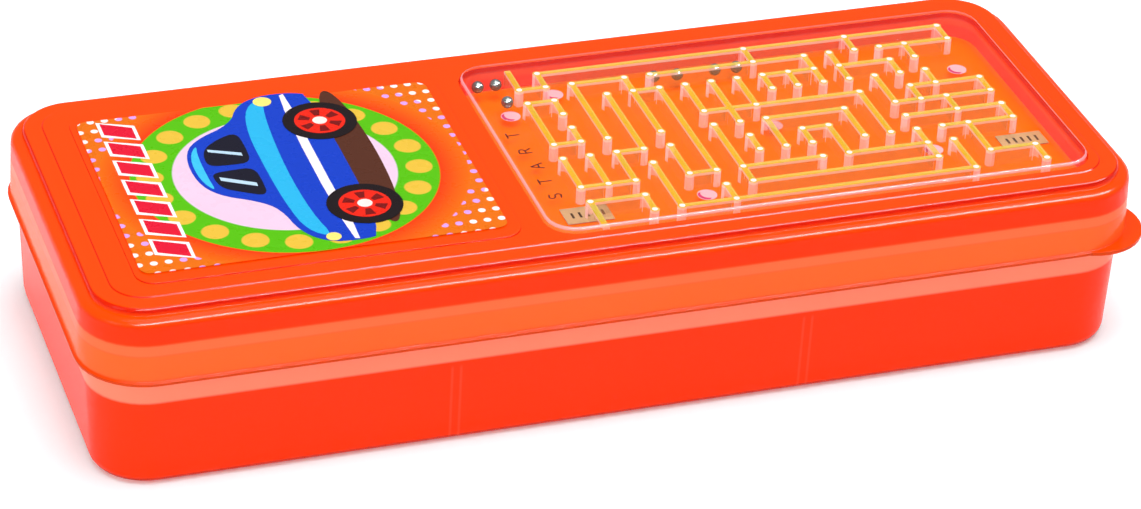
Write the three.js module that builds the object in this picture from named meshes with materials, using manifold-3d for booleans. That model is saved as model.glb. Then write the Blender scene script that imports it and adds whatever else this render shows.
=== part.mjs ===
// Pencil case: a flat plastic box with a push-fit lid, a lift-out organiser tray, and a ball maze under a
// clear window in the lid. Millimetres, +Z up. The origin is the middle of the underside of the base.
import * as THREE from 'three';
import { mergeVertices } from 'three/addons/utils/BufferGeometryUtils.js';
import Module from 'manifold-3d';

const wasm = await Module();
wasm.setup();

// ---- driving dimensions ----

const GAP = 0.3;                   // clearance between pieces that touch
const LEDGE_RISE = 0.01;           // height of a step that is flat in practice
const OVERSHOOT = 1;               // how far a cutting solid runs past the face it opens
const ROOT = 0.5;                  // how deep an added solid is sunk into the one that carries it

const RIM_HALF_LENGTH = 110;       // lid lip, the widest outline of the case
const RIM_HALF_WIDTH = 44.5;
const RIM_CORNER_RADIUS = 14;

const BASE_INSET = 1.9;            // base wall inside the lid lip, just under the lip
const BASE_DRAFT = 0.7;            // how much further in the base wall is at the bottom
const BASE_WALL = 1.4;
const BASE_FILLET = 2.6;
const BASE_SHOULDER_Z = 23.8;      // where the base wall steps in to go inside the lid
const BASE_RIM_INSET = 2.6;
const BASE_RIM_WALL = 1.2;
const BASE_CORNER_CHAMFER = 1;     // inside, where the floor meets the wall
const BASE_RIM_TOP_Z = 31;

const LIP_BOTTOM_Z = 24.3;
const LIP_THICKNESS = 0.9;
const LIP_ROUNDING = 0.2;
const LIP_FLARE = 0.1;             // height over which the lip runs into the wall
const LID_WALL_INSET = 0.5;        // lid wall inside its own lip
const LID_DRAFT = 0.4;
const LID_SKIRT_WALL = 1.5;
const LID_LEDGE_Z = BASE_RIM_TOP_Z + GAP;
const LID_UPPER_WALL = 2.7;
const LID_EDGE_Z = 38.3;           // outer margin of the lid's top
const LID_EDGE_FILLET = 1.8;
const LID_TOP_WALL = 1.6;
const LID_ROOF_CHAMFER = 1;        // inside, where the wall meets the roof
const PANEL_INSET = 3.3;           // raised panel, measured from the lip
const PANEL_RISE = 1.5;
const PANEL_FILLET = 0.8;
const PANEL_DRAFT = 0.1;           // the panel's edge leans in by this either side of its inset
const TERRACE_INSET = 7.2;         // shallow second step of the panel
const TERRACE_RISE = 0.3;
const PANEL_Z = LID_EDGE_Z + PANEL_RISE + TERRACE_RISE;

const TAB = { x: 100.8, y: -33.6, radius: 11.4 };  // disc that fills out one corner of the lip

const PLINTH = { x: -59, y: -0.2, halfLength: 38.5, halfWidth: 33.1, radius: 4, rise: 0.3 };
const LABEL = { x: -59.5, y: 0, halfLength: 36.7, halfWidth: 30, radius: 2.2, thickness: 0.15 };

const WINDOW = { x: 42.6, y: -0.8, halfLength: 58, halfWidth: 34.2, radius: 6 };
const WINDOW_RISE = 1.1;           // how far the window stands above the panel
const WINDOW_PLATE = 1.2;
const WINDOW_SKIRT = 1.2;
const WINDOW_BEVEL = 0.4;
const MAZE_FLOOR_Z = 35.9;
const MAZE_FLOOR_THICKNESS = 1;
const POCKET_FLOOR_Z = 34.4;       // floor of the lid's pocket, under the maze
const MAZE_WALL_TOP_Z = 39.7;
const MAZE_WALL_THICKNESS = 1.3;
const MAZE_POST_RADIUS = 1;
const MAZE_PITCH_X = 5.75;
const MAZE_PITCH_Y = 5.85;
const MAZE_COLUMN_0_X = -4;
const MAZE_ROW_0_Y = -29.25;
const MAZE_LAST_COLUMN = 17;       // the right-hand lane, nearer than a full pitch
const MAZE_LAST_COLUMN_X = 92.2;
const MAZE_WALL_ROOT = 0.1;        // how deep the walls start inside the floor

const BALL_RADIUS = 1.3;
const DIMPLE_RADIUS = 2.1;         // round catches sunk in the floor of the maze
const DIMPLE_DEPTH = 0.5;
const CARD_THICKNESS = 0.15;       // the two small labels under the maze
const START_CARD = { x: -3.3, y: -19.9, halfLength: 4.9, halfWidth: 3 };
const FINISH_CARD = { x: 94.2, y: -13.2, halfLength: 5, halfWidth: 2.6 };

const TRAY_TOP_Z = 19.2;
const TRAY_WALL = 1.2;
const TRAY_CLEARANCE = 0.5;
const TRAY_CHAMFER = 1.2;          // along the bottom edge, inside and out
const TRAY_DRAFT = 0.3;
const TRAY_DIVIDER_DROP = 1;       // dividers stop this far below the tray's rim
const TRAY_DIVIDER_X = 36.7;       // cross walls of the small compartments, either side of the middle
const TRAY_RAIL_Y = 2;             // long wall between the small compartments and the pencil trough

const ARC_STEPS = 10;              // segments per quarter turn on the case's own corners
const FINE_ARC_STEPS = 5;
const EDGE_STEPS = 4;              // segments over a rounded long edge
const PANEL_EDGE_STEPS = 3;
const TAB_SIDES = 40;
const POST_SIDES = 8;
const BALL_SIDES = 16;
const BALL_BANDS = 10;
const DIMPLE_SIDES = 16;
const DIMPLE_STEPS = 3;
const SMALLEST_RADIUS = 0.5;
const WELD_DISTANCE = 1e-4;

// ---- materials ----

function plastic(color, roughness) {
  return new THREE.MeshStandardMaterial({ color, roughness, metalness: 0 });
}

const MATERIALS = {
  base: plastic(0xfe4406, 0.3),
  tray: plastic(0xf2470c, 0.35),
  lid: plastic(0xff5a1a, 0.25),
  clear: new THREE.MeshStandardMaterial({
    color: 0xfdf3ee, roughness: 0.05, metalness: 0, transparent: true, opacity: 0.35,
  }),
  paper: plastic(0xff8a1c, 0.4),
  smallLabel: plastic(0xe8c9a0, 0.6),
  steel: new THREE.MeshStandardMaterial({ color: 0xc9ccd0, roughness: 0.15, metalness: 1 }),
};

// ---- solids ----

// Turns a closed three.js geometry into a manifold solid.
function solid(geometry) {
  const bare = geometry.index ? geometry.toNonIndexed() : geometry.clone();
  bare.deleteAttribute('normal');
  bare.deleteAttribute('uv');
  const merged = mergeVertices(bare, WELD_DISTANCE);
  return new wasm.Manifold(new wasm.Mesh({
    numProp: 3,
    vertProperties: new Float32Array(merged.attributes.position.array),
    triVerts: new Uint32Array(merged.index.array),
  }));
}

function geometryOf(manifold) {
  const mesh = manifold.getMesh();
  const geometry = new THREE.BufferGeometry();
  geometry.setAttribute('position', new THREE.BufferAttribute(new Float32Array(mesh.vertProperties), 3));
  geometry.setIndex(new THREE.BufferAttribute(new Uint32Array(mesh.triVerts), 1));
  geometry.computeVertexNormals();
  return geometry;
}

function piece(name, manifold, material) {
  const mesh = new THREE.Mesh(geometryOf(manifold), material.clone());
  mesh.name = name;
  return mesh;
}

function box(x0, x1, y0, y1, z0, z1) {
  const geometry = new THREE.BoxGeometry(x1 - x0, y1 - y0, z1 - z0);
  return solid(geometry.translate((x0 + x1) / 2, (y0 + y1) / 2, (z0 + z1) / 2));
}

function cylinder(x, y, radius, z0, z1, sides) {
  const geometry = new THREE.CylinderGeometry(radius, radius, z1 - z0, sides).rotateX(Math.PI / 2);
  return solid(geometry.translate(x, y, (z0 + z1) / 2));
}

// One level outline of a rounded rectangle, counter-clockwise seen from above.
function ring(halfLength, halfWidth, radius, z, steps = ARC_STEPS) {
  const r = Math.max(radius, SMALLEST_RADIUS);
  const points = [];
  const centres = [[1, 1], [-1, 1], [-1, -1], [1, -1]];
  centres.forEach(([sx, sy], corner) => {
    const arc = new THREE.EllipseCurve(
      sx * (halfLength - r), sy * (halfWidth - r), r, r, corner * Math.PI / 2, (corner + 1) * Math.PI / 2,
    );
    arc.getPoints(steps).forEach((p) => points.push(new THREE.Vector3(p.x, p.y, z)));
  });
  return points;
}

// A ring of the case: the lip outline moved inwards by an inset, so that all rings stay parallel.
function caseRing(inset, z) {
  return ring(RIM_HALF_LENGTH - inset, RIM_HALF_WIDTH - inset, RIM_CORNER_RADIUS - inset, z);
}

// A closed solid through a stack of rings with the same number of points.
function loft(rings) {
  const count = rings[0].length;
  const positions = rings.flat().flatMap((p) => [p.x, p.y, p.z]);
  const index = [];
  for (let level = 0; level + 1 < rings.length; level += 1) {
    for (let i = 0; i < count; i += 1) {
      const a = level * count + i;
      const b = level * count + (i + 1) % count;
      index.push(a, b, b + count, a, b + count, a + count);
    }
  }
  const top = (rings.length - 1) * count;
  for (let i = 1; i + 1 < count; i += 1) {
    index.push(0, i + 1, i);
    index.push(top, top + i, top + i + 1);
  }
  const geometry = new THREE.BufferGeometry();
  geometry.setAttribute('position', new THREE.Float32BufferAttribute(positions, 3));
  geometry.setIndex(index);
  return solid(geometry);
}

// Case rings round a convex edge: from the wall up to the flat, or from the flat down to the wall.
function edgeRings(inset, z, radius, steps, upwards) {
  const rings = [];
  for (let i = 0; i <= steps; i += 1) {
    const turn = (i / steps) * Math.PI / 2;
    rings.push(upwards
      ? caseRing(inset + radius * (1 - Math.cos(turn)), z - radius + radius * Math.sin(turn))
      : caseRing(inset + radius * (1 - Math.sin(turn)), z + radius - radius * Math.cos(turn)));
  }
  return rings;
}

// A rounded plate lying flat at (x, y), with an optional inset all round.
function plate(shape, z0, z1, inset = 0) {
  const rings = [z0, z1].map((z) => ring(
    shape.halfLength - inset, shape.halfWidth - inset, shape.radius - inset, z, FINE_ARC_STEPS,
  ));
  return loft(rings).translate([shape.x, shape.y, 0]);
}

// ---- base ----

function baseTray() {
  const bottomInset = BASE_INSET + BASE_DRAFT;
  const outer = loft([
    ...edgeRings(bottomInset, 0, BASE_FILLET, EDGE_STEPS, false),
    caseRing(BASE_INSET, BASE_SHOULDER_Z),
    caseRing(BASE_RIM_INSET, BASE_SHOULDER_Z + LEDGE_RISE),
    caseRing(BASE_RIM_INSET, BASE_RIM_TOP_Z),
  ]);
  const inner = loft([
    caseRing(bottomInset + BASE_WALL + BASE_CORNER_CHAMFER, BASE_WALL),
    caseRing(bottomInset + BASE_WALL, BASE_WALL + BASE_CORNER_CHAMFER),
    caseRing(BASE_RIM_INSET + BASE_RIM_WALL, BASE_SHOULDER_Z),
    caseRing(BASE_RIM_INSET + BASE_RIM_WALL, BASE_RIM_TOP_Z + OVERSHOOT),
  ]);
  return outer.subtract(inner);
}

// ---- lift-out tray ----

function innerTray() {
  const bottomInset = BASE_INSET + BASE_DRAFT + BASE_WALL + TRAY_CLEARANCE;
  const floorZ = BASE_WALL + GAP;
  const outer = loft([
    caseRing(bottomInset + TRAY_CHAMFER, floorZ),
    caseRing(bottomInset, floorZ + TRAY_CHAMFER),
    caseRing(bottomInset - TRAY_DRAFT, TRAY_TOP_Z),
  ]);
  const inner = loft([
    caseRing(bottomInset + TRAY_WALL + TRAY_CHAMFER, floorZ + TRAY_WALL),
    caseRing(bottomInset + TRAY_WALL, floorZ + TRAY_WALL + TRAY_CHAMFER),
    caseRing(bottomInset - TRAY_DRAFT + TRAY_WALL, TRAY_TOP_Z + OVERSHOOT),
  ]);
  const half = TRAY_WALL / 2;
  const reachX = RIM_HALF_LENGTH - bottomInset - half;
  const reachY = RIM_HALF_WIDTH - bottomInset - half;
  const dividerTop = TRAY_TOP_Z - TRAY_DIVIDER_DROP;
  let tray = outer.subtract(inner);
  tray = tray.add(box(-reachX, reachX, TRAY_RAIL_Y - half, TRAY_RAIL_Y + half, floorZ + half, dividerTop));
  [-TRAY_DIVIDER_X, TRAY_DIVIDER_X].forEach((x) => {
    tray = tray.add(box(x - half, x + half, -reachY, TRAY_RAIL_Y, floorZ + half, dividerTop));
  });
  return tray;
}

// ---- lid ----

function thumbTab() {
  return cylinder(TAB.x, TAB.y, TAB.radius, LIP_BOTTOM_Z, LIP_BOTTOM_Z + LIP_THICKNESS, TAB_SIDES);
}

function lid() {
  const wallTop = LID_WALL_INSET + LID_DRAFT;
  const lipTop = LIP_BOTTOM_Z + LIP_THICKNESS;
  const panelZ = LID_EDGE_Z + PANEL_RISE;
  const panelTopInset = PANEL_INSET + PANEL_DRAFT;
  const outer = loft([
    caseRing(LIP_ROUNDING, LIP_BOTTOM_Z),
    caseRing(0, LIP_BOTTOM_Z + LIP_ROUNDING),
    caseRing(0, lipTop - LIP_ROUNDING),
    caseRing(LID_WALL_INSET, lipTop + LIP_FLARE),
    ...edgeRings(wallTop, LID_EDGE_Z, LID_EDGE_FILLET, EDGE_STEPS, true),
    caseRing(PANEL_INSET - PANEL_DRAFT, LID_EDGE_Z),
    caseRing(panelTopInset, panelZ - PANEL_FILLET),
    ...edgeRings(panelTopInset, panelZ, PANEL_FILLET, PANEL_EDGE_STEPS, true).slice(1),
    caseRing(TERRACE_INSET, panelZ),
    caseRing(TERRACE_INSET + TERRACE_RISE, PANEL_Z),
  ]);
  const skirtInset = LID_WALL_INSET + LID_SKIRT_WALL;
  const roofInset = wallTop + LID_UPPER_WALL;
  const inner = loft([
    caseRing(skirtInset, LIP_BOTTOM_Z - OVERSHOOT),
    caseRing(skirtInset, LID_LEDGE_Z),
    caseRing(roofInset, LID_LEDGE_Z + LEDGE_RISE),
    caseRing(roofInset, panelZ - LID_TOP_WALL - LID_ROOF_CHAMFER),
    caseRing(roofInset + LID_ROOF_CHAMFER, panelZ - LID_TOP_WALL),
  ]);
  const well = plate(WINDOW, POCKET_FLOOR_Z - LID_TOP_WALL, PANEL_Z - ROOT, -LID_TOP_WALL);
  const pocket = plate(WINDOW, POCKET_FLOOR_Z, PANEL_Z + OVERSHOOT, -GAP);
  const plinth = plate(PLINTH, PANEL_Z - ROOT, PANEL_Z + PLINTH.rise);
  return outer.add(thumbTab()).subtract(inner).add(well).add(plinth).subtract(pocket);
}

function label() {
  const z = PANEL_Z + PLINTH.rise + GAP / 2;
  return plate(LABEL, z, z + LABEL.thickness);
}

// ---- maze ----

function columnX(column) {
  return column === MAZE_LAST_COLUMN ? MAZE_LAST_COLUMN_X : MAZE_COLUMN_0_X + column * MAZE_PITCH_X;
}

function rowY(row) {
  return MAZE_ROW_0_Y + row * MAZE_PITCH_Y;
}

// Walls along X: row, first column, last column.
const WALLS_ALONG_X = [
  [0, 3, 14], [1, 0, 2], [1, 6, 13], [1, 15, 17], [2, 0, 2], [2, 4, 5], [2, 6, 9], [2, 10, 13],
  [3, 14, 17], [4, 2, 3], [4, 9, 10], [4, 13, 17], [5, 0, 1], [5, 8, 11], [5, 13, 17], [6, 6, 12],
  [6, 14, 17], [8, 0, 1], [8, 4, 5], [8, 9, 11], [8, 12, 14], [9, 0, 1], [9, 2, 4], [9, 5, 11],
  [9, 14, 17], [10, 1, 17],
];

// Walls along Y: column, first row, last row.
const WALLS_ALONG_Y = [
  [0, 2, 4], [0, 5, 8], [1, 2, 4], [1, 5, 6], [1, 7, 8], [1, 9, 10], [2, 0, 1], [2, 2, 4], [2, 5, 9],
  [3, 0, 3], [3, 4, 8], [4, 2, 4], [4, 5, 9], [5, 0, 1], [5, 2, 8], [6, 1, 5], [6, 6, 8], [7, 3, 4],
  [7, 5, 8], [8, 3, 5], [8, 6, 8], [9, 3, 4], [9, 7, 8], [9, 9, 10], [10, 2, 4], [10, 7, 8], [11, 3, 5],
  [11, 7, 9], [12, 3, 6], [12, 7, 9], [13, 1, 3], [13, 5, 7], [13, 9, 10], [14, 0, 2], [14, 5, 6],
  [14, 7, 8], [15, 1, 3], [15, 4, 5], [15, 6, 7], [15, 8, 9], [17, 0, 1], [17, 3, 4], [17, 5, 6], [17, 9, 10],
];

function mazeMoulding() {
  const floorBottom = MAZE_FLOOR_Z - MAZE_FLOOR_THICKNESS;
  const half = MAZE_WALL_THICKNESS / 2;
  const frameInset = WINDOW_SKIRT + GAP;
  const sunk = MAZE_FLOOR_Z - MAZE_WALL_ROOT;
  const solids = [];
  const posts = new Set();
  WALLS_ALONG_X.forEach(([row, first, last]) => {
    const y = rowY(row);
    solids.push(box(columnX(first), columnX(last), y - half, y + half, sunk, MAZE_WALL_TOP_Z));
    [first, last].forEach((column) => posts.add(`${column},${row}`));
  });
  WALLS_ALONG_Y.forEach(([column, first, last]) => {
    const x = columnX(column);
    solids.push(box(x - half, x + half, rowY(first), rowY(last), sunk, MAZE_WALL_TOP_Z));
    [first, last].forEach((row) => posts.add(`${column},${row}`));
  });
  posts.forEach((post) => {
    const [column, row] = post.split(',').map(Number);
    solids.push(cylinder(columnX(column), rowY(row), MAZE_POST_RADIUS, sunk, MAZE_WALL_TOP_Z, POST_SIDES));
  });
  const laneX = columnX(0);
  const backY = WINDOW.y + WINDOW.halfWidth - frameInset;
  const frontY = WINDOW.y - WINDOW.halfWidth + frameInset;
  solids.push(box(laneX - half, laneX + half, rowY(9), backY, sunk, MAZE_WALL_TOP_Z));
  solids.push(box(laneX - half, laneX + half, frontY, rowY(1), sunk, MAZE_WALL_TOP_Z));
  let moulding = plate(WINDOW, floorBottom, MAZE_FLOOR_Z, frameInset);
  moulding = moulding.add(wasm.Manifold.union(solids));
  dimplePlaces().forEach(([x, y]) => {
    moulding = moulding.subtract(dimple(x, y));
  });
  return moulding;
}

// Clear window: a plate with a skirt that goes down round the maze to the floor of the pocket.
function mazeWindow() {
  const topZ = PANEL_Z + WINDOW_RISE;
  const skirtBottom = MAZE_FLOOR_Z - MAZE_FLOOR_THICKNESS;
  const rings = [[0, skirtBottom], [0, topZ - WINDOW_BEVEL], [WINDOW_BEVEL, topZ]].map(([inset, z]) => ring(
    WINDOW.halfLength - inset, WINDOW.halfWidth - inset, WINDOW.radius - inset, z, FINE_ARC_STEPS,
  ));
  const outer = loft(rings).translate([WINDOW.x, WINDOW.y, 0]);
  return outer.subtract(plate(WINDOW, skirtBottom - OVERSHOOT, topZ - WINDOW_PLATE, WINDOW_SKIRT));
}

// Middle of a maze cell, counted from the lower-left crossing.
function cell(column, row) {
  return [(columnX(column) + columnX(column + 1)) / 2, (rowY(row) + rowY(row + 1)) / 2];
}

function dimplePlaces() {
  return [[-6.9, 19.6], cell(1, 9), cell(4, 1), cell(8, 5), cell(13, 2), [91.8, 16.2]];
}

// Spherical hollow of DIMPLE_DEPTH with a rim of DIMPLE_RADIUS.
function dimple(x, y) {
  const radius = (DIMPLE_RADIUS ** 2 + DIMPLE_DEPTH ** 2) / (2 * DIMPLE_DEPTH);
  const half = Math.asin(DIMPLE_RADIUS / radius);
  const profile = [new THREE.Vector2(0, -DIMPLE_DEPTH)];
  for (let i = 1; i <= DIMPLE_STEPS; i += 1) {
    const turn = (i / DIMPLE_STEPS) * half;
    profile.push(new THREE.Vector2(radius * Math.sin(turn), radius * (1 - Math.cos(turn)) - DIMPLE_DEPTH));
  }
  profile.push(new THREE.Vector2(DIMPLE_RADIUS, MAZE_WALL_ROOT), new THREE.Vector2(0, MAZE_WALL_ROOT));
  const geometry = new THREE.LatheGeometry(profile, DIMPLE_SIDES).rotateX(Math.PI / 2);
  return solid(geometry.translate(x, y, MAZE_FLOOR_Z));
}

const BALL_PLACES = [
  [-10.8, 30.4], [-6.9, 30.4], [-6.7, 22.8], [26.6, 26], [31.7, 25.7], [40.2, 25.8], [45, 25.8],
];

function ball([x, y]) {
  const geometry = new THREE.SphereGeometry(BALL_RADIUS, BALL_SIDES, BALL_BANDS).rotateX(Math.PI / 2);
  return solid(geometry.translate(x, y, MAZE_FLOOR_Z + GAP + BALL_RADIUS));
}

// A card under the maze, midway in the space between the pocket's floor and the moulding.
function smallLabel(card) {
  const z = POCKET_FLOOR_Z + CARD_THICKNESS;
  return box(
    card.x - card.halfLength, card.x + card.halfLength,
    card.y - card.halfWidth, card.y + card.halfWidth, z, z + CARD_THICKNESS,
  );
}

// ---- assembly ----

const pencilCase = new THREE.Group();
pencilCase.add(piece('base_tray', baseTray(), MATERIALS.base));
pencilCase.add(piece('inner_tray', innerTray(), MATERIALS.tray));

const lidGroup = new THREE.Group();
lidGroup.add(piece('lid', lid(), MATERIALS.lid));
lidGroup.add(piece('lid_label', label(), MATERIALS.paper));
lidGroup.add(piece('maze_moulding', mazeMoulding(), MATERIALS.clear));
lidGroup.add(piece('maze_window', mazeWindow(), MATERIALS.clear));
BALL_PLACES.forEach((place, i) => {
  lidGroup.add(piece(`maze_ball_${i + 1}`, ball(place), MATERIALS.steel));
});
lidGroup.add(piece('start_label', smallLabel(START_CARD), MATERIALS.smallLabel));
lidGroup.add(piece('finish_label', smallLabel(FINISH_CARD), MATERIALS.smallLabel));
pencilCase.add(lidGroup);

export default pencilCase;
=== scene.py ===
# Looks of the pencil case: glossy translucent orange plastic, a clear ball maze, and a printed label.
# Everything is in metres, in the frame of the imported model.
import math

import bmesh
import bpy
from mathutils import Euler, Matrix, Vector


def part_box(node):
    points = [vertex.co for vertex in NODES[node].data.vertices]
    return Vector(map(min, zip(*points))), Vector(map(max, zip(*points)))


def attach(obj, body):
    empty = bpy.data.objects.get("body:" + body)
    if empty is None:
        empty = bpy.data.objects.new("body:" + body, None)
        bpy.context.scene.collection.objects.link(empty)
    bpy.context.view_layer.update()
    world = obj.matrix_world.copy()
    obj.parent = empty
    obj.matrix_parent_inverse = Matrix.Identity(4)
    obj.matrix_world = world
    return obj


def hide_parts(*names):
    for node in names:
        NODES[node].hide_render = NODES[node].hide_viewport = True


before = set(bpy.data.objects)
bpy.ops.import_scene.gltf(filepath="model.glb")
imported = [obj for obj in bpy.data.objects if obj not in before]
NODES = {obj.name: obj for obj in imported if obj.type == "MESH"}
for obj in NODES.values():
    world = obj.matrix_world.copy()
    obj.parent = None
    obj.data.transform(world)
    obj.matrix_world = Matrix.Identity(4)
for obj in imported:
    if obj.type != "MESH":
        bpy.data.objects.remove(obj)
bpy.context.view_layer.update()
MM = 0.001


# ---- camera, light and floor ----

CAMERA_AZIMUTH = math.radians(-19.64)
CAMERA_ELEVATION = math.radians(31.26)
CAMERA_ROLL = math.radians(2.82)
CAMERA_PLACE = Vector((-0.23899, -0.67168, 0.44581))
CAMERA_LENS = 127.46
CAMERA_SENSOR = 36
CAMERA_REACH = 20
SKY_COLOUR = (0.95, 0.98, 1, 1)
SKY_STRENGTH = 0.42
FLOOR_WHITE = (0.86, 0.98, 1, 1)   # less red, against the warm light that the case throws on it
FLOOR_REACH = 3
FLOOR_ROUGHNESS = 0.8
FLOOR_SPECULAR = 0.1
FLOOR_GLOW = 0.16
CLEAR_SURFACES = 40                # faces of clear plastic that one line of sight may pass through


def make_camera():
    camera = bpy.data.objects.new("camera", bpy.data.cameras.new("camera"))
    camera.data.lens = CAMERA_LENS
    camera.data.sensor_width = CAMERA_SENSOR
    camera.data.clip_end = CAMERA_REACH
    turn = Euler((math.pi / 2 - CAMERA_ELEVATION, 0, CAMERA_AZIMUTH)).to_matrix()
    roll = Matrix.Rotation(CAMERA_ROLL, 3, "Z")
    camera.matrix_world = Matrix.Translation(CAMERA_PLACE) @ (turn @ roll).to_4x4()
    bpy.context.scene.collection.objects.link(camera)
    bpy.context.scene.camera = camera


def softbox(name, place, aim, width, height, power):
    light = bpy.data.lights.new(name, "AREA")
    light.shape = "RECTANGLE"
    light.size = width
    light.size_y = height
    light.energy = power
    lamp = bpy.data.objects.new(name, light)
    lamp.location = place
    lamp.rotation_euler = (Vector(aim) - Vector(place)).to_track_quat("-Z", "Y").to_euler()
    bpy.context.scene.collection.objects.link(lamp)
    return lamp


def make_light():
    world = bpy.data.worlds.new("studio")
    world.use_nodes = True
    background = world.node_tree.nodes["Background"]
    background.inputs["Color"].default_value = SKY_COLOUR
    background.inputs["Strength"].default_value = SKY_STRENGTH
    bpy.context.scene.world = world
    softbox("overhead", place=(0.1, -0.1, 1.5), aim=(0, 0, 0), width=1.6, height=1.2, power=23)
    strip = softbox("front_strip", place=(0.3, -0.62, 0.95), aim=(0, 0, 0.03), width=2.2, height=0.34,
                    power=150)
    # Only reflections show it. It draws the bright lines along the front edge.
    strip.visible_diffuse = False
    softbox("left", place=(-1.1, -0.5, 0.5), aim=(0, 0, 0.02), width=0.5, height=0.6, power=3.5)


def make_floor():
    mesh = bpy.data.meshes.new("floor")
    corners = [(-1, -1), (1, -1), (1, 1), (-1, 1)]
    mesh.from_pydata([(x * FLOOR_REACH, y * FLOOR_REACH, 0) for x, y in corners], [], [(0, 1, 2, 3)])
    floor = bpy.data.objects.new("floor", mesh)
    bpy.context.scene.collection.objects.link(floor)
    paint = bpy.data.materials.new("floor")
    paint.use_nodes = True
    shader = paint.node_tree.nodes["Principled BSDF"]
    shader.inputs["Base Color"].default_value = FLOOR_WHITE
    shader.inputs["Roughness"].default_value = FLOOR_ROUGHNESS
    shader.inputs["Specular IOR Level"].default_value = FLOOR_SPECULAR
    shader.inputs["Emission Color"].default_value = FLOOR_WHITE
    shader.inputs["Emission Strength"].default_value = FLOOR_GLOW
    mesh.materials.append(paint)


# ---- node helpers ----

NOISE_RANGE = (0.3, 0.7)           # the part of a noise texture's values that is spread over a wider range


class Paint:
    """A material under construction: short calls for the nodes that this scene uses."""

    def __init__(self, name):
        self.material = bpy.data.materials.new(name)
        self.material.use_nodes = True
        self.tree = self.material.node_tree
        self.shader = self.tree.nodes["Principled BSDF"]
        self.output = self.tree.nodes["Material Output"]
        self.place = self.tree.nodes.new("ShaderNodeTexCoord").outputs["Object"]

    def node(self, kind, inputs=None, **settings):
        made = self.tree.nodes.new(kind)
        for key, value in settings.items():
            setattr(made, key, value)
        for key, value in (inputs or {}).items():
            self.feed(made.inputs[key], value)
        return made

    def feed(self, socket, value):
        if isinstance(value, bpy.types.NodeSocket):
            self.tree.links.new(value, socket)
        elif isinstance(value, (tuple, list)) and len(value) == 3 and socket.type == "RGBA":
            socket.default_value = (*value, 1)
        else:
            socket.default_value = value

    def math(self, operation, *values):
        made = self.node("ShaderNodeMath", operation=operation)
        for socket, value in zip(made.inputs, values):
            self.feed(socket, value)
        return made.outputs[0]

    def noise(self, scale, detail=3, stretch=(1, 1, 1)):
        shift = self.node("ShaderNodeMapping", {"Vector": self.place, "Scale": stretch})
        inputs = {"Vector": shift.outputs[0], "Scale": scale, "Detail": detail}
        return self.node("ShaderNodeTexNoise", inputs).outputs["Fac"]

    def ramp(self, value, start, end):
        """0 at start and below, 1 at end and above."""
        inputs = {"Value": value, "From Min": start, "From Max": end}
        return self.node("ShaderNodeMapRange", inputs).outputs[0]

    def above(self, value, limit, soft):
        """1 above a limit, 0 below it, with an edge of width soft either side."""
        return self.ramp(value, limit - soft, limit + soft)

    def other(self, share):
        """What is left of 1."""
        return self.math("SUBTRACT", 1, share)

    def band(self, value, low, high, soft):
        """1 between low and high, 0 outside, with edges of width soft."""
        rise = self.ramp(value, low - soft, low + soft)
        fall = self.ramp(value, high + soft, high - soft)
        return self.math("MULTIPLY", rise, fall)

    def spread(self, value, low, high):
        """Maps a noise to low..high."""
        start, end = NOISE_RANGE
        inputs = {"Value": value, "From Min": start, "From Max": end, "To Min": low, "To Max": high}
        return self.node("ShaderNodeMapRange", inputs).outputs[0]

    def mix(self, share, a, b):
        made = self.node("ShaderNodeMix", data_type="RGBA")
        self.feed(made.inputs["Factor"], share)
        self.feed(made.inputs[6], a)
        self.feed(made.inputs[7], b)
        return made.outputs[2]

    def facing(self):
        """The surface's own direction in the model's frame."""
        turn = self.node("ShaderNodeNewGeometry").outputs["True Normal"]
        return self.node("ShaderNodeSeparateXYZ", {0: turn}).outputs

    def xyz(self):
        return self.node("ShaderNodeSeparateXYZ", {0: self.place}).outputs

    def bump(self, height, distance, strength=1):
        made = self.node("ShaderNodeBump", {"Height": height, "Distance": distance, "Strength": strength})
        self.feed(self.shader.inputs["Normal"], made.outputs[0])
        return made.outputs[0]

    def set(self, **values):
        for key, value in values.items():
            self.feed(self.shader.inputs[key.replace("_", " ")], value)


def dimmed(colour, share):
    return tuple(share * part for part in colour)


def linear(red, green, blue):
    """sRGB 0..255 to the linear colour that shaders use."""
    def one(value):
        share = value / 255
        return share / 12.92 if share <= 0.04045 else ((share + 0.055) / 1.055) ** 2.4
    return one(red), one(green), one(blue)


# ---- materials ----

ORANGE_WALL = linear(255, 58, 0)
# painted light: the lid's top is paler than its upright walls, which keep the base's ORANGE_WALL
ORANGE_TOP = linear(255, 80, 2)
# painted light: the base's paler band where light comes through a single wall
ORANGE_PALE = linear(255, 150, 118)
# painted light: paler bands on the lid's skirt where light comes through the plastic
ORANGE_SKIRT = linear(255, 112, 45)
ORANGE_OVERLAP = linear(252, 122, 70)
# painted shade: the darker lip under the lid's rim
ORANGE_LIP = linear(218, 70, 2)
# painted shade: the darker foot of the base along the floor
ORANGE_FOOT = linear(196, 44, 0)
# painted light: the brighter floor of the lid's pocket under the maze
ORANGE_POCKET = linear(252, 128, 0)
ORANGE_STEP = linear(222, 34, 0)   # painted shade on the small steps round the raised panel and the label
ORANGE_TRAY = linear(250, 80, 20)

# Bands of colour by height, in millimetres: painted light and painted shade on the translucent plastic.
BASE_BANDS = [(19.3, 23.9, ORANGE_PALE), (0, 1.6, ORANGE_FOOT)]
# On the lid: painted light on the skirt bands, painted shade on the lip and on the upper walls from 33.1 to
# 37.2
LID_BANDS = [
    (24, 25.3, ORANGE_LIP),
    (25.4, 30.7, ORANGE_SKIRT),
    (30.7, 33.1, ORANGE_OVERLAP),
    (33.1, 37.2, ORANGE_WALL),
    (38.7, 40.6, ORANGE_STEP),
]
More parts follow.
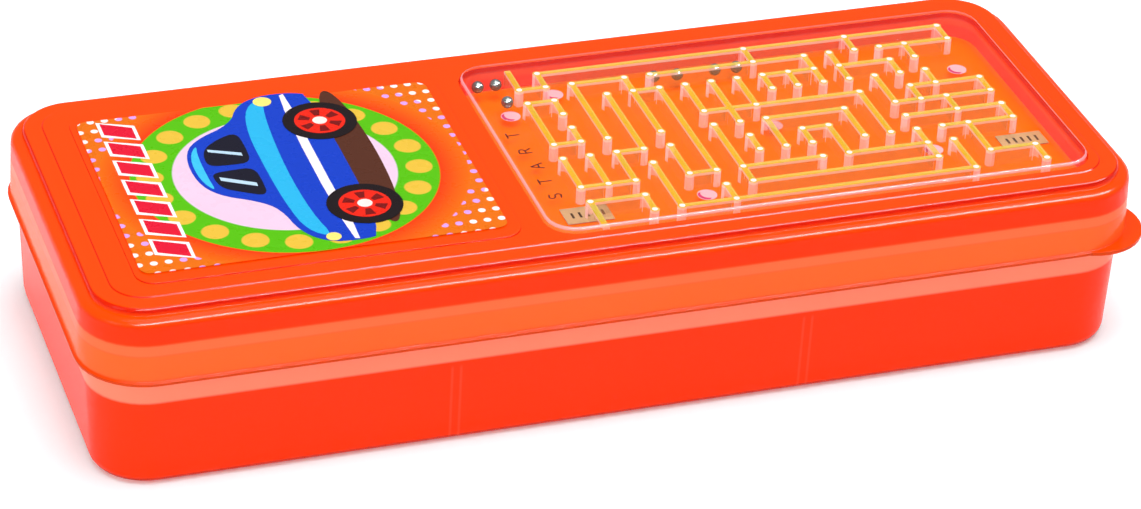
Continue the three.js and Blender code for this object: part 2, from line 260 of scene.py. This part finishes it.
# painted light on the floor of the lid's pocket
LID_FLOORS = [(34.2, 34.7, ORANGE_POCKET)]
BAND_SOFTNESS = 0.3

# Painted pale lines where the tray's cross walls show through the base, in millimetres.
RIB_PLACES = [side * 36.7 + edge for side in (-1, 1) for edge in (-0.9, 0.9)]
RIB_WIDTH = 0.5
RIB_SOFTNESS = 0.15
RIB_TOP_Z = 18
RIB_TOP_SOFTNESS = 0.5
RIB_STRENGTH = 0.1

LEVEL_TILT = 0.8                   # a face counts as level above this upward part of its direction
LEVEL_SOFTNESS = 0.1
THROUGH_SHARE = 0.3                # how much of the shading is light that comes through the wall
CLOUD_SCALE = 28                   # of the uneven colour in the plastic
PEEL_SCALE = 700                   # of the fine unevenness of its surface
SCUFF_SCALE = 240
SCUFF_STRETCH = (1, 7, 1)
PLASTIC_ROUGHNESS = (0.1, 0.19)
PLASTIC_IOR = 1.49
PLASTIC_SPECULAR = 0.14
# painted glow: emission that stands in for light scattered inside the plastic
PLASTIC_GLOW = 0.16


def orange_plastic(name, colour, bands=(), floors=(), ribs=()):
    """Moulded translucent polypropylene.

    bands are (low z, high z, colour) on upright walls, which are painted paler where the plastic is one layer
    thick, as light coming through it, and painted darker as shade at the lip, the foot, the steps and the
    lid's upper walls.
    floors are the same on level faces, painted light in the lid's pocket. ribs are places along X where a
    wall behind shows as a faint painted line.
    """
    paint = Paint(name)
    place = paint.xyz()
    z = place["Z"]
    level = paint.above(paint.math("ABSOLUTE", paint.facing()["Z"]), LEVEL_TILT, LEVEL_SOFTNESS)
    upright = paint.other(level)
    shade = colour
    for zones, where in ((bands, upright), (floors, level)):
        for low, high, tone in zones:
            height = paint.band(z, low * MM, high * MM, BAND_SOFTNESS * MM)
            shade = paint.mix(paint.math("MULTIPLY", height, where), shade, tone)
    for x in ribs:
        line = paint.band(place["X"], (x - RIB_WIDTH / 2) * MM, (x + RIB_WIDTH / 2) * MM, RIB_SOFTNESS * MM)
        below = paint.other(paint.above(z, RIB_TOP_Z * MM, RIB_TOP_SOFTNESS * MM))
        share = paint.math("MULTIPLY", paint.math("MULTIPLY", line, upright), RIB_STRENGTH)
        shade = paint.mix(paint.math("MULTIPLY", share, below), shade, ORANGE_PALE)
    cloud = paint.spread(paint.noise(scale=CLOUD_SCALE), 0, 0.07)
    shade = paint.mix(cloud, shade, dimmed(colour, 0.7))
    normal = paint.bump(paint.noise(scale=PEEL_SCALE, detail=2), distance=0.015 * MM, strength=0.4)
    scuff = paint.noise(scale=SCUFF_SCALE, detail=6, stretch=SCUFF_STRETCH)
    # Emission_Strength here is a painted glow
    paint.set(Base_Color=shade, Roughness=paint.spread(scuff, *PLASTIC_ROUGHNESS), IOR=PLASTIC_IOR,
              Specular_IOR_Level=PLASTIC_SPECULAR, Emission_Color=shade, Emission_Strength=PLASTIC_GLOW)
    glow = paint.node("ShaderNodeBsdfTranslucent", {"Color": shade, "Normal": normal})
    parts = {0: THROUGH_SHARE, 1: paint.shader.outputs[0], 2: glow.outputs[0]}
    paint.feed(paint.output.inputs["Surface"], paint.node("ShaderNodeMixShader", parts).outputs[0])
    return paint.material


# Heights in the clear maze, in millimetres, and how much each part of it hides.
FLANK_FROM_Z = 36.1
LINE_FROM_Z = 39.12
CREST_FROM_Z = 39.45
FLANK_SOFTNESS = 0.15
LINE_SOFTNESS = 0.12
CREST_SOFTNESS = 0.1
FLANK_ALPHA = 0.2
LINE_ALPHA = 0.4
CREST_ALPHA = 0.66
POST_ALPHA = 0.22
CLEAR_IOR = 1.5
WALL_TILT = (0.5, 0.2)             # upward part of a face's direction, and the softness of that limit
CREST_TILT = (0.55, 0.15)
SKEW_LIMIT = 0.2                   # faces that lean off both X and Y by more than this are a post's
SKEW_SOFTNESS = 0.08
MAZE_HAZE = 0.006
# painted glow of the clear walls, as light piped through them
MAZE_GLOW = 0.2
MAZE_SPECULAR = 0.4
CLEAR_FLOOR_TINT = linear(255, 190, 120)
FLANK_TINT = linear(158, 132, 84)
POST_HIGHLIGHT = linear(255, 234, 240)
LINE_HIGHLIGHT = linear(250, 226, 206)
CREST_PIPED_LIGHT = linear(206, 180, 8)


def moulding_plastic(name):
    """Clear walls with painted light: a yellow crest of painted piped light, a painted highlight line under
    it, and painted highlights on the upright edges at the posts.
    """
    paint = Paint(name)
    z = paint.xyz()["Z"]
    turn = paint.facing()
    up = turn["Z"]
    upright = paint.other(paint.above(paint.math("ABSOLUTE", up), *WALL_TILT))
    over_crest = paint.above(z, CREST_FROM_Z * MM, CREST_SOFTNESS * MM)
    over_line = paint.above(z, LINE_FROM_Z * MM, LINE_SOFTNESS * MM)
    over_floor = paint.above(z, FLANK_FROM_Z * MM, FLANK_SOFTNESS * MM)
    crest = paint.math("MULTIPLY", over_crest, paint.above(up, *CREST_TILT))
    line = paint.math("MULTIPLY", over_line, upright)
    flank = paint.math("MULTIPLY", over_floor, upright)
    skew = paint.math("MINIMUM", paint.math("ABSOLUTE", turn["X"]), paint.math("ABSOLUTE", turn["Y"]))
    post = paint.math("MULTIPLY", paint.above(skew, SKEW_LIMIT, SKEW_SOFTNESS), flank)
    tone = CLEAR_FLOOR_TINT
    # painted highlights on the posts and under the crest, painted piped light on the crest
    for share, tint in ((flank, FLANK_TINT), (post, POST_HIGHLIGHT), (line, LINE_HIGHLIGHT), (crest, CREST_PIPED_LIGHT)):
        tone = paint.mix(share, tone, tint)
    alpha = paint.spread(paint.noise(scale=420, detail=4), 0, MAZE_HAZE)
    for share, weight in ((flank, FLANK_ALPHA), (line, LINE_ALPHA), (crest, CREST_ALPHA), (post, POST_ALPHA)):
        alpha = paint.math("ADD", alpha, paint.math("MULTIPLY", share, weight))
    paint.bump(paint.noise(scale=260, detail=2), distance=0.02 * MM, strength=0.4)
    paint.set(Base_Color=tone, Alpha=alpha, Emission_Color=tone, Emission_Strength=MAZE_GLOW,
              Roughness=paint.spread(paint.noise(scale=600, detail=4), 0.04, 0.14), IOR=CLEAR_IOR,
              Specular_IOR_Level=MAZE_SPECULAR)
    return paint.material


WINDOW_RIM_FROM_Z = 40.6           # in millimetres
WINDOW_RIM_SOFTNESS = 0.15
WINDOW_RIM_ALPHA = 0.46
WINDOW_SLOPE_ALPHA = 0.04
WINDOW_HAZE = 0.008
WINDOW_TILT = (0.93, 0.05)
WINDOW_SPECULAR = 0.3
# painted glow of the clear cap
WINDOW_GLOW = 0.1
WINDOW_TINT = linear(255, 246, 244)
# painted highlight round the rim's bevel
WINDOW_RIM_HIGHLIGHT = linear(255, 196, 206)
WINDOW_GLOW_TINT = linear(255, 205, 210)


def window_plastic(name):
    """Clear cap: almost nothing over the maze, a painted pale pink highlight round its rim, and a painted
    glow.
    """
    paint = Paint(name)
    z = paint.xyz()["Z"]
    slope = paint.other(paint.above(paint.math("ABSOLUTE", paint.facing()["Z"]), *WINDOW_TILT))
    rim = paint.math("MULTIPLY", slope, paint.above(z, WINDOW_RIM_FROM_Z * MM, WINDOW_RIM_SOFTNESS * MM))
    alpha = paint.spread(paint.noise(scale=300, detail=6, stretch=(1, 8, 1)), 0, WINDOW_HAZE)
    for share, weight in ((rim, WINDOW_RIM_ALPHA), (slope, WINDOW_SLOPE_ALPHA)):
        alpha = paint.math("ADD", alpha, paint.math("MULTIPLY", share, weight))
    paint.bump(paint.noise(scale=90, detail=2), distance=0.03 * MM, strength=0.3)
    scratches = paint.noise(scale=500, detail=5, stretch=(1, 9, 1))
    paint.set(Base_Color=paint.mix(rim, WINDOW_TINT, WINDOW_RIM_HIGHLIGHT), Alpha=alpha,
              Roughness=paint.spread(scratches, 0.03, 0.08), IOR=CLEAR_IOR,
              Specular_IOR_Level=WINDOW_SPECULAR, Emission_Color=WINDOW_GLOW_TINT,
              Emission_Strength=WINDOW_GLOW)
    return paint.material


def glint_plastic(name, colour, alpha):
    """Painted glints and painted shade on the clear moulding, with a small painted glow."""
    paint = Paint(name)
    grain = paint.noise(scale=1200)
    paint.bump(paint.noise(scale=500), distance=0.02 * MM, strength=0.5)
    paint.set(Base_Color=paint.mix(paint.spread(grain, 0, 0.3), colour, dimmed(colour, 0.86)), Alpha=alpha,
              Roughness=paint.spread(grain, 0.05, 0.2), IOR=CLEAR_IOR,
              Emission_Color=colour, Emission_Strength=0.25)
    return paint.material


STEEL_LIGHT = (0.26, 0.3, 0.29)
STEEL_DARK = (0.14, 0.15, 0.16)


def steel(name):
    paint = Paint(name)
    stain = paint.spread(paint.noise(scale=900, detail=4), 0, 0.3)
    paint.set(Base_Color=paint.mix(stain, STEEL_LIGHT, STEEL_DARK), Metallic=0.7,
              Roughness=paint.spread(paint.noise(scale=1500), 0.08, 0.18))
    return paint.material


def paper(name, colour):
    paint = Paint(name)
    fibre = paint.noise(scale=2500, detail=5, stretch=(1, 3, 1))
    paint.bump(fibre, distance=0.02 * MM, strength=0.4)
    paint.set(Base_Color=paint.mix(paint.spread(fibre, 0, 0.25), colour, dimmed(colour, 0.8)), Roughness=0.55)
    return paint.material


INK_ROUGHNESS = (0.24, 0.34)
INK_SPECULAR = 0.1


def set_ink(paint, shade):
    """The glossy finish that the label's paper and inks share."""
    paint.set(Base_Color=shade, Roughness=paint.spread(paint.noise(scale=350, detail=5), *INK_ROUGHNESS),
              Specular_IOR_Level=INK_SPECULAR)


def printed(name, colour):
    """Ink on the glossy label."""
    paint = Paint(name)
    grain = paint.spread(paint.noise(scale=1800), 0, 0.14)
    set_ink(paint, paint.mix(grain, colour, dimmed(colour, 0.8)))
    return paint.material


RING_CENTRE = (-60, 0.8)           # of the label's art, in millimetres like the radii below
RING_OUTER = 36.7
RING_GREEN = 30.8
RING_PALE = 22.4
RING_DOT_PATH = 26.8
RING_DOT_RADIUS = 2.7
RING_DOT_COUNT = 20
POLKA_PITCH = (2.9, 3.75)
POLKA_RADIUS = 0.75
POLKA_LILAC_REACH = 40             # dots nearer to the ring's centre than this are lilac
POLKA_SHIFT = 0.5                  # in metres: keeps the repeating distance positive over the whole label
PRINT_EDGE = 0.15                  # softness of the edges in the print
LABEL_GROUND = linear(226, 108, 4)
LABEL_DOT = linear(255, 240, 240)
LABEL_LILAC = linear(214, 158, 236)
RING_RED = linear(246, 54, 0)
RING_AMBER = linear(248, 104, 0)
RING_LEAF = linear(84, 184, 0)
RING_YELLOW = linear(226, 184, 60)
RING_PINK = linear(238, 200, 224)
RING_PINK_SHADE = linear(226, 192, 216)


def label_print(name):
    """Concentric rings with a circle of dots, and small dots in the corners."""
    paint = Paint(name)
    place = paint.xyz()
    across = paint.math("SUBTRACT", place["X"], RING_CENTRE[0] * MM)
    along = paint.math("SUBTRACT", place["Y"], RING_CENTRE[1] * MM)

    def length(a, b):
        squares = [paint.math("MULTIPLY", part, part) for part in (a, b)]
        return paint.math("SQRT", paint.math("ADD", *squares))

    def within(distance, radius, edge):
        return paint.other(paint.above(distance, radius * MM, edge * MM))

    def to_nearest(value, pitch):
        return paint.math("PINGPONG", paint.math("ADD", value, POLKA_SHIFT), pitch * MM / 2)

    reach = length(across, along)
    polka_reach = length(to_nearest(across, POLKA_PITCH[0]), to_nearest(along, POLKA_PITCH[1]))
    polka = within(polka_reach, POLKA_RADIUS, PRINT_EDGE / 2)
    ink = paint.mix(within(reach, POLKA_LILAC_REACH, PRINT_EDGE), LABEL_DOT, LABEL_LILAC)
    ground = paint.mix(polka, LABEL_GROUND, ink)

    sector = 2 * math.pi / RING_DOT_COUNT
    angle = paint.math("ADD", paint.math("ARCTAN2", along, across), math.pi * 4)
    turn = paint.math("SUBTRACT", paint.math("MODULO", angle, sector), sector / 2)
    sideways = paint.math("MULTIPLY", turn, RING_DOT_PATH * MM)
    outward = paint.math("SUBTRACT", reach, RING_DOT_PATH * MM)
    dot = within(length(sideways, outward), RING_DOT_RADIUS, PRINT_EDGE)

    fade = paint.ramp(reach, RING_GREEN * MM, RING_OUTER * MM)
    orange = paint.mix(fade, RING_RED, RING_AMBER)
    green = paint.mix(dot, RING_LEAF, RING_YELLOW)
    pale = paint.mix(paint.spread(paint.noise(scale=60, detail=2), 0, 0.5), RING_PINK, RING_PINK_SHADE)
    shade = ground
    for radius, tone in ((RING_OUTER, orange), (RING_GREEN, green), (RING_PALE, pale)):
        shade = paint.mix(within(reach, radius, PRINT_EDGE), shade, tone)
    set_ink(paint, shade)
    paint.bump(paint.noise(scale=1500), distance=0.006 * MM, strength=0.4)
    return paint.material


# ---- finishing of CAD nodes ----

WELD_DISTANCE = 0.002              # in millimetres
FLAT_ANGLE = 0.6                   # faces that turn by less than this, in degrees, become one
BEVEL_ANGLE = 35
BEVEL_SEGMENTS = 2
FULL_WEIGHT = 100

CASE_EDGE = 0.3                    # widths of the rounded edges, in millimetres
LID_EDGE = 0.22
WINDOW_EDGE = 0.2
MAZE_EDGE = 0.12
CARD_TAN = linear(196, 152, 98)


def refine(node, edge):
    """Rounds a node's sharp edges and shades it smooth. Its own vertices stay where they are."""
    piece = NODES[node]
    weld = piece.modifiers.new("weld", "WELD")
    weld.merge_threshold = WELD_DISTANCE * MM
    flat = piece.modifiers.new("flat", "DECIMATE")
    flat.decimate_type = "DISSOLVE"
    flat.angle_limit = math.radians(FLAT_ANGLE)
    bevel = piece.modifiers.new("bevel", "BEVEL")
    bevel.width = edge * MM
    bevel.segments = BEVEL_SEGMENTS
    bevel.limit_method = "ANGLE"
    bevel.angle_limit = math.radians(BEVEL_ANGLE)
    weight = piece.modifiers.new("weight", "WEIGHTED_NORMAL")
    weight.weight = FULL_WEIGHT
    weight.keep_sharp = True
    piece.data.shade_smooth()


def dress(node, material):
    piece = NODES[node]
    piece.data.materials.clear()
    piece.data.materials.append(material)


def dress_case():
    base = orange_plastic("base_orange", ORANGE_WALL, BASE_BANDS, ribs=RIB_PLACES)
    tray = orange_plastic("tray_orange", ORANGE_TRAY)
    lid = orange_plastic("lid_orange", ORANGE_TOP, LID_BANDS, LID_FLOORS)
    window = window_plastic("clear_window")
    maze = moulding_plastic("clear_moulding")
    finishes = [
        ("base_tray", base, CASE_EDGE),
        ("inner_tray", tray, CASE_EDGE),
        ("lid", lid, LID_EDGE),
        ("maze_window", window, WINDOW_EDGE),
        ("maze_moulding", maze, MAZE_EDGE),
    ]
    for node, material, edge in finishes:
        dress(node, material)
        refine(node, edge)
    dress("lid_label", label_print("label_print"))
    for node in ("start_label", "finish_label"):
        dress(node, paper("small_label_paper", CARD_TAN))


BALL_ROUNDS = 4                    # subdivisions of a ball's mesh


def make_balls():
    shine = steel("ball_steel")
    for node in sorted(n for n in NODES if n.startswith("maze_ball")):
        low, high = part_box(node)
        work = bmesh.new()
        bmesh.ops.create_icosphere(work, subdivisions=BALL_ROUNDS, radius=(high.z - low.z) / 2,
                                   matrix=Matrix.Translation((low + high) / 2))
        mesh = bpy.data.meshes.new(node.replace("maze_", "steel_"))
        work.to_mesh(mesh)
        work.free()
        mesh.shade_smooth()
        mesh.materials.append(shine)
        ball = bpy.data.objects.new(mesh.name, mesh)
        bpy.context.scene.collection.objects.link(ball)
        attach(ball, node.replace("maze_", ""))
        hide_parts(node)


# ---- flat printed shapes ----

INK_LAYER = 0.03                   # thickness of one printed layer, in millimetres


def flat_shape(name, outlines, floor_z, material, layer=0):
    """Thin prisms with the given outlines, in millimetres. Each layer lies on the one below."""
    low = floor_z + layer * INK_LAYER * MM
    high = low + INK_LAYER * MM
    work = bmesh.new()
    for outline in outlines:
        bottom = [work.verts.new((x * MM, y * MM, low)) for x, y in outline]
        top = [work.verts.new((x * MM, y * MM, high)) for x, y in outline]
        work.faces.new(top)
        work.faces.new(reversed(bottom))
        for k in range(len(outline)):
            after = (k + 1) % len(outline)
            work.faces.new((bottom[k], bottom[after], top[after], top[k]))
    bmesh.ops.recalc_face_normals(work, faces=work.faces)
    mesh = bpy.data.meshes.new(name)
    work.to_mesh(mesh)
    work.free()
    mesh.materials.append(material)
    shape = bpy.data.objects.new(name, mesh)
    bpy.context.scene.collection.objects.link(shape)
    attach(shape, "lid")


def disc(centre, radius, sides=48):
    turns = [2 * math.pi * k / sides for k in range(sides)]
    return [(centre[0] + radius * math.cos(t), centre[1] + radius * math.sin(t)) for t in turns]


def smooth(points, rounds=2):
    """Corner cutting: a soft closed outline through a few guide points."""
    for _ in range(rounds):
        cut = []
        for k, (x, y) in enumerate(points):
            after_x, after_y = points[(k + 1) % len(points)]
            for share in (0.25, 0.75):
                cut.append((x + (after_x - x) * share, y + (after_y - y) * share))
        points = cut
    return points


CAR_FOOT_X = -44                   # the art stands on this line, with its top towards -X
CAR_MIDDLE_Y = 2
WHEEL_PLACES = [(-17, 4), (17, 4)]  # along the car and up from its foot, in millimetres like all of the art
TYRE_RADIUS = 7.6
HUB_RADIUS = 5.2
CAP_RADIUS = 1.5
SPOKE_COUNT = 6
SPOKE_INNER = 2.2
SPOKE_OUTER = 4.5
SPOKE_HALF_ANGLE = 0.24
SHADOW_CENTRE = (2, -0.5)
SHADOW_RADIUS = 27
SHADOW_SQUASH = 0.14

# Guide points of the car's outlines, as (along, up).
BODY = [
    (-29, 3), (-30, 9), (-29, 15), (-24, 19), (-15, 20.5), (-11, 24), (-7, 31), (-1, 34), (9, 34),
    (15, 31), (20, 22), (27, 19), (30, 14), (30, 7), (28, 3),
]
SHINE = [
    (-28, 13), (-24, 17.6), (-14, 19), (0, 19.5), (16, 19.5), (26, 17.4), (29, 13), (20, 14.6), (0, 15.6),
    (-18, 15),
]
ROOF_SHINE = [(-5.6, 31), (-0.5, 33.2), (8.6, 33.2), (13.6, 30.6), (9, 31.4), (0, 31.4)]
FRONT_GLASS = [(-9.5, 21.6), (-7, 26), (-4.6, 29.6), (-1, 30.4), (1.6, 30.2), (2, 26), (2, 21.6), (-4, 21.2)]
REAR_GLASS = [(4, 21.6), (4, 26), (4.4, 30.2), (8, 30.4), (11.6, 29.4), (14.6, 26), (16.6, 21.6), (10, 21.2)]
FRONT_GLEAM = [(-5.4, 22.6), (-1.6, 29.2), (-0.2, 29.2), (-4, 22.6)]
REAR_GLEAM = [(7, 22.6), (10, 29), (11, 29), (8.2, 22.6)]
TRIM = [(-29.6, 8), (-29, 9.8), (0, 10.4), (29, 9.8), (29.8, 8), (0, 8.4)]
FRONT_LAMP = ((27.4, 13.4), 1.9)
REAR_LAMP = ((-27.6, 13.2), 1.5)
SMALL_SIDES = 24


def on_label(points):
    """Art drawn as (along, up) placed on the label: along runs to +Y and up runs to -X."""
    return [(CAR_FOOT_X - up, CAR_MIDDLE_Y + along) for along, up in points]


def ring_spoke(centre, index):
    """One of the dark slots in a wheel's hub."""
    along, up = centre
    turn = index * 2 * math.pi / SPOKE_COUNT
    half = SPOKE_HALF_ANGLE
    corners = [(SPOKE_INNER, -half), (SPOKE_OUTER, -half), (SPOKE_OUTER, half), (SPOKE_INNER, half)]
    return [(along + reach * math.cos(turn + side), up + reach * math.sin(turn + side))
            for reach, side in corners]


def make_toy_car():
    """A plain toy car from the side, drawn for this scene, with nobody in it."""
    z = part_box("lid_label")[1].z
    shadow = [(along, up * SHADOW_SQUASH) for along, up in disc(SHADOW_CENTRE, SHADOW_RADIUS)]
    lamps = [disc(centre, radius, SMALL_SIDES) for centre, radius in (FRONT_LAMP, REAR_LAMP)]
    spokes = [ring_spoke(centre, k) for centre in WHEEL_PLACES for k in range(SPOKE_COUNT)]
    # Each row is a name, its outlines, its colour and its layer of ink.
    art = [
        ("shadow", [shadow], (84, 42, 26), 0),
        ("body", [smooth(BODY)], (14, 60, 190), 1),
        ("shine", [smooth(SHINE)], (40, 176, 226), 2),
        ("roof", [smooth(ROOF_SHINE)], (60, 190, 232), 2),
        ("glass", [smooth(FRONT_GLASS), smooth(REAR_GLASS)], (20, 18, 36), 2),
        ("gleam", [FRONT_GLEAM, REAR_GLEAM], (186, 214, 236), 3),
        ("trim", [smooth(TRIM, 1)], (250, 236, 240), 2),
        ("lamps", lamps, (255, 226, 120), 3),
        ("tyres", [disc(place, TYRE_RADIUS) for place in WHEEL_PLACES], (26, 14, 18), 4),
        ("hubs", [disc(place, HUB_RADIUS) for place in WHEEL_PLACES], (232, 34, 12), 5),
        ("spokes", spokes, (120, 12, 10), 6),
        ("caps", [disc(place, CAP_RADIUS, SMALL_SIDES) for place in WHEEL_PLACES], (248, 226, 220), 7),
    ]
    for name, outlines, colour, layer in art:
        placed = [on_label(outline) for outline in outlines]
        flat_shape("car_" + name, placed, z, printed("ink_" + name, linear(*colour)), layer)


HASH_FAR_X = -91.5                 # in millimetres, like the sizes below
HASH_NEAR_X = -85.5
HASH_START_Y = -26
HASH_COUNT = 7
HASH_PITCH = 7.8
HASH_WIDTH = 4.6
HASH_SLANT = 3
HASH_BORDER = 0.7


def hash_bars(edge):
    """Outlines of the slanted bars, grown by an edge."""
    made = []
    for k in range(HASH_COUNT):
        low = HASH_START_Y + k * HASH_PITCH - edge
        high = low + HASH_WIDTH + 2 * edge
        near, far = HASH_NEAR_X + edge, HASH_FAR_X - edge
        made.append([(near, low), (near, high), (far, high + HASH_SLANT), (far, low + HASH_SLANT)])
    return made


def make_hash_bars():
    """Slanted red bars with a white edge, down the side of the label."""
    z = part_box("lid_label")[1].z
    white = printed("ink_white", linear(255, 244, 246))
    red = printed("ink_red", linear(222, 16, 50))
    flat_shape("hash_edge", hash_bars(HASH_BORDER), z, white)
    flat_shape("hash_bars", hash_bars(0), z, red, 1)


# Strokes of the maze's start marking, as (along, up) in a unit square.
STROKES = {
    "S": [[(0.9, 0.9), (0.3, 1), (0.1, 0.75), (0.3, 0.52), (0.7, 0.48), (0.9, 0.25), (0.7, 0), (0.1, 0.1)]],
    "T": [[(0, 1), (1, 1)], [(0.5, 1), (0.5, 0)]],
    "A": [[(0, 0), (0.5, 1), (1, 0)], [(0.22, 0.38), (0.78, 0.38)]],
    "R": [[(0.1, 0), (0.1, 1), (0.75, 0.95), (0.85, 0.7), (0.65, 0.5), (0.1, 0.5)], [(0.5, 0.5), (0.95, 0)]],
}
START_PLACES = [
    ("S", -8.0, -13.6), ("T", -8.1, -7.5), ("A", -7.9, -1.3), ("R", -8.4, 5.1), ("T", -8.8, 11.9),
]
LETTER_HEIGHT = 2.7
LETTER_WIDTH = 2.1
STROKE_WIDTH = 0.34
FLOOR_Z = 35.9 * MM                # upper face of the maze's clear floor


def ribbon(a, b):
    """Outline of a straight stroke from a to b."""
    ax, ay = a
    bx, by = b
    half = STROKE_WIDTH / 2 / math.hypot(bx - ax, by - ay)
    nx, ny = (ay - by) * half, (bx - ax) * half
    return [(ax + nx, ay + ny), (ax - nx, ay - ny), (bx - nx, by - ny), (bx + nx, by + ny)]


def make_start_marking():
    ribbons = []
    for letter, x, y in START_PLACES:
        for stroke in STROKES[letter]:
            placed = [(x + LETTER_HEIGHT * (0.5 - up), y + LETTER_WIDTH * (along - 0.5))
                      for along, up in stroke]
            ribbons += [ribbon(a, b) for a, b in zip(placed, placed[1:])]
    ink = printed("ink_brown", linear(96, 30, 14))
    flat_shape("start_marking", ribbons, FLOOR_Z, ink)


MAZE_FIRST_CROSSING = (-4, -29.25)  # of the maze's grid, in millimetres like the pitch
MAZE_PITCH = (5.75, 5.85)
MAZE_COLUMNS = 17
MAZE_ROWS = 11
MAZE_LAST_LANE_X = 92.2
POST_RADIUS = 1
POST_CORNERS = 2                   # fewest of a post's own top corners that show a post stands there
POST_SEARCH = (POST_RADIUS - 0.05, POST_RADIUS + 0.02)
TOP_DEPTH = 0.01                   # how far below the highest point a corner still counts as a top one
# size of the painted glint discs on the post tips
TIP_RADIUS = 0.62
TIP_SIDES = 12

DIMPLE_PLACES = [(-6.9, 19.6), (4.6, 26.3), (21.9, -20.5), (44.9, 2.9), (73.6, -14.6), (91.8, 16.2)]
# the painted highlight discs on the dimples and their painted crescent of shade
DIMPLE_RADIUS = 2.05
DIMPLE_SIDES = 32
CRESCENT_OUTER = 1.9
CRESCENT_INNER = 1.75
CRESCENT_SHIFT = (0.5, 0.35)       # of its inner edge, which makes it thicker on one side
CRESCENT_TURNS = [math.radians(150 + 8 * k) for k in range(16)]


def post_places():
    """Grid crossings where the clear moulding really has a post, found from its own top corners."""
    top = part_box("maze_moulding")[1].z
    columns = [MAZE_FIRST_CROSSING[0] + k * MAZE_PITCH[0] for k in range(MAZE_COLUMNS)]
    rows = [MAZE_FIRST_CROSSING[1] + k * MAZE_PITCH[1] for k in range(MAZE_ROWS)]
    vertices = NODES["maze_moulding"].data.vertices
    tips = [v.co / MM for v in vertices if v.co.z > top - TOP_DEPTH * MM]
    nearest, farthest = POST_SEARCH
    found = []
    for x in columns + [MAZE_LAST_LANE_X]:
        for y in rows:
            near = [t for t in tips if nearest < math.hypot(t.x - x, t.y - y) < farthest]
            if len(near) >= POST_CORNERS:
                found.append((x, y))
    return found


def crescent(centre):
    x, y = centre
    outer = [(x + CRESCENT_OUTER * math.cos(t), y + CRESCENT_OUTER * math.sin(t)) for t in CRESCENT_TURNS]
    x, y = x + CRESCENT_SHIFT[0], y + CRESCENT_SHIFT[1]
    inner = [(x + CRESCENT_INNER * math.cos(t), y + CRESCENT_INNER * math.sin(t)) for t in CRESCENT_TURNS]
    return outer + inner[::-1]


def make_moulding_glints():
    """Painted glints on the post tips, and on the round dimples painted pale highlights with a painted darker
    crescent of shade on one side.
    """
    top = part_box("maze_moulding")[1].z
    tips = [disc(place, TIP_RADIUS, TIP_SIDES) for place in post_places()]
    bowls = [disc(place, DIMPLE_RADIUS, DIMPLE_SIDES) for place in DIMPLE_PLACES]
    crescents = [crescent(place) for place in DIMPLE_PLACES]
    white = glint_plastic("glint_white", linear(255, 246, 250), 0.62)
    pink = glint_plastic("glint_pink", linear(248, 190, 204), 0.5)
    magenta = glint_plastic("glint_magenta", linear(196, 48, 104), 0.7)
    # painted glints on the post tips, painted highlights on the dimples and painted shade in their crescents
    flat_shape("post_tips", tips, top, white)
    flat_shape("dimple_faces", bowls, FLOOR_Z, pink)
    flat_shape("dimple_crescents", crescents, FLOOR_Z, magenta, 1)


CARD_BAR_COUNT = 5
CARD_BAR_PITCH = 1.6               # in millimetres, and also the first bar's distance from the card's end
CARD_BAR_WIDTH = 0.5
CARD_BAR_HALF_LENGTH = 1


def make_card_bars():
    """Plain dark bars on the two small cards under the maze."""
    ink = printed("ink_card", linear(88, 60, 44))
    for node in ("start_label", "finish_label"):
        low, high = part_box(node)
        middle = (low.y + high.y) / 2 / MM
        bottom, top = middle - CARD_BAR_HALF_LENGTH, middle + CARD_BAR_HALF_LENGTH
        bars = []
        for k in range(CARD_BAR_COUNT):
            left = low.x / MM + CARD_BAR_PITCH * (k + 1)
            right = left + CARD_BAR_WIDTH
            bars.append([(left, bottom), (right, bottom), (right, top), (left, top)])
        flat_shape(node + "_bars", bars, high.z, ink)


make_camera()
make_light()
make_floor()
dress_case()
make_balls()
make_toy_car()
make_hash_bars()
make_start_marking()
make_moulding_glints()
make_card_bars()

bpy.context.scene.view_settings.view_transform = "Standard"
bpy.context.scene.cycles.transparent_max_bounces = CLEAR_SURFACES
